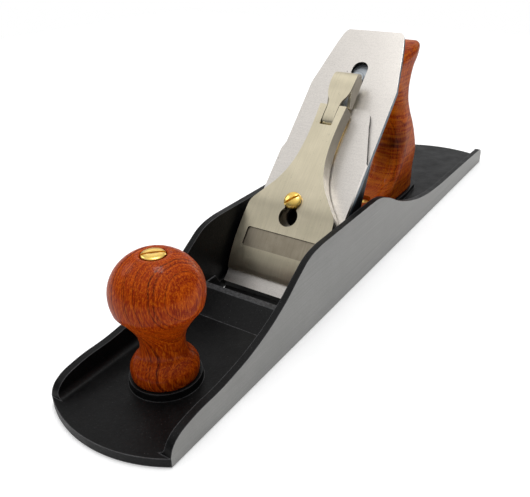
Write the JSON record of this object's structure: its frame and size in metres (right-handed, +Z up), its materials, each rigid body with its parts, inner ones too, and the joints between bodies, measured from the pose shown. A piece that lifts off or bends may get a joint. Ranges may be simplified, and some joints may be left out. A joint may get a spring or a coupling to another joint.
{
  "type": "hand plane",
  "caption": "Long metal-bodied bench hand plane with a steel blade on a 45 degree frog, a lever cap with a cam lever, and a wooden knob and tote.",
  "frame": {"origin": "middle of the sole's underside", "axes": "-Y points to the toe and the cutting direction, +Y to the heel, +X to the plane's left side as it is pushed, +Z up from the sole"},
  "size_m": [0.073, 0.455, 0.1363],
  "materials": {
    "iron_body": "ground grey on the sole and cheeks' outer faces, satin black inside",
    "frog_paint": "satin black paint",
    "blade_steel": "satin ground steel",
    "bright_steel": "plain turned steel",
    "cap_nickel": "satin nickel on cast iron",
    "brass": "polished, lightly turned",
    "wood": "red-brown hardwood, satin lacquer"
  },
  "bodies": {
    "plane_body": {"sole_body": "iron_body", "front_knob": "wood", "knob_stud": "bright_steel", "knob_nut": "brass", "tote": "wood", "tote_stud": "bright_steel", "tote_nut": "brass", "tote_toe_screw": "brass", "frog_clamp_screw_left": "bright_steel", "frog_clamp_screw_right": "bright_steel"},
    "frog_body": {"frog": "frog_paint", "frog_pin_left": "bright_steel", "frog_pin_right": "bright_steel", "frog_adjust_plate": "bright_steel", "frog_plate_screw": "bright_steel", "depth_stud": "bright_steel", "yoke_pin": "bright_steel", "lateral_pivot_pin": "bright_steel", "lever_cap_screw": "brass"},
    "frog_screw_body": {"frog_adjust_screw": "bright_steel"},
    "lever_cap_body": {"lever_cap": "cap_nickel", "lever_cap_spring": "brass", "spring_rivet": "bright_steel", "cam_pin": "bright_steel"},
    "cam_body": {"cam_lever": "cap_nickel"},
    "blade_body": {"blade": "blade_steel", "cap_iron": "blade_steel", "cap_iron_screw": "bright_steel"},
    "yoke_body": {"yoke": "bright_steel"},
    "hub_body": {"depth_wheel_hub": "brass"},
    "wheel_body": {"depth_wheel": "brass"},
    "lateral_body": {"lateral_lever": "bright_steel"},
    "roller_body": {"lateral_disc": "bright_steel"}
  },
  "joints": [
    {"name": "frog_slide", "type": "slide", "parent": "plane_body", "child": "frog_body", "axis": [0, 0.9848, 0.1736], "range_m": [-0.0015, 0.0008]},
    {"name": "frog_screw_turn", "type": "hinge", "parent": "frog_body", "child": "frog_screw_body", "pos_m": [0, -0.014, 0.01216], "axis": [0, 0.9848, 0.1736], "range_deg": [-700, 380]},
    {"name": "blade_skew", "type": "hinge", "parent": "frog_body", "child": "lever_cap_body", "pos_m": [0, -0.04914, 0.04292], "axis": [0, -0.7071, 0.7071], "range_deg": [-1, 1]},
    {"name": "cam_lever_lift", "type": "hinge", "parent": "lever_cap_body", "child": "cam_body", "pos_m": [0, -0.01463, 0.09016], "axis": [1, 0, 0], "range_deg": [0, 85]},
    {"name": "blade_feed", "type": "slide", "parent": "lever_cap_body", "child": "blade_body", "axis": [0, 0.7071, 0.7071], "range_m": [-0.0015, 0.0015]},
    {"name": "yoke_tilt", "type": "hinge", "parent": "frog_body", "child": "yoke_body", "pos_m": [0, -0.01272, 0.056], "axis": [-1, 0, 0], "range_deg": [-5, 5]},
    {"name": "hub_travel", "type": "slide", "parent": "frog_body", "child": "hub_body", "axis": [0, -1, 0], "range_m": [-0.0016, 0.0016]},
    {"name": "depth_wheel_turn", "type": "hinge", "parent": "hub_body", "child": "wheel_body", "pos_m": [0, 0, 0.038], "axis": [0, 1, 0], "range_deg": [-440, 440]},
    {"name": "lateral_swing", "type": "hinge", "parent": "frog_body", "child": "lateral_body", "pos_m": [0, 0.0034, 0.09546], "axis": [0, -0.7071, 0.7071], "range_deg": [-4.5, 4.5]},
    {"name": "roller_spin", "type": "hinge", "parent": "lateral_body", "child": "roller_body", "pos_m": [0, 0.01896, 0.11102], "axis": [0, -0.7071, 0.7071], "continuous": true}
  ],
  "couplings": [
    {"joint": "frog_screw_turn", "follows": "frog_slide", "rad_per_m": 7854},
    {"joint": "yoke_tilt", "follows": "blade_feed", "rad_per_m": 55.556},
    {"joint": "hub_travel", "follows": "blade_feed", "ratio": 1},
    {"joint": "depth_wheel_turn", "follows": "blade_feed", "rad_per_m": 5026.6},
    {"joint": "lateral_swing", "follows": "blade_skew", "ratio": 4.3773}
  ]
}
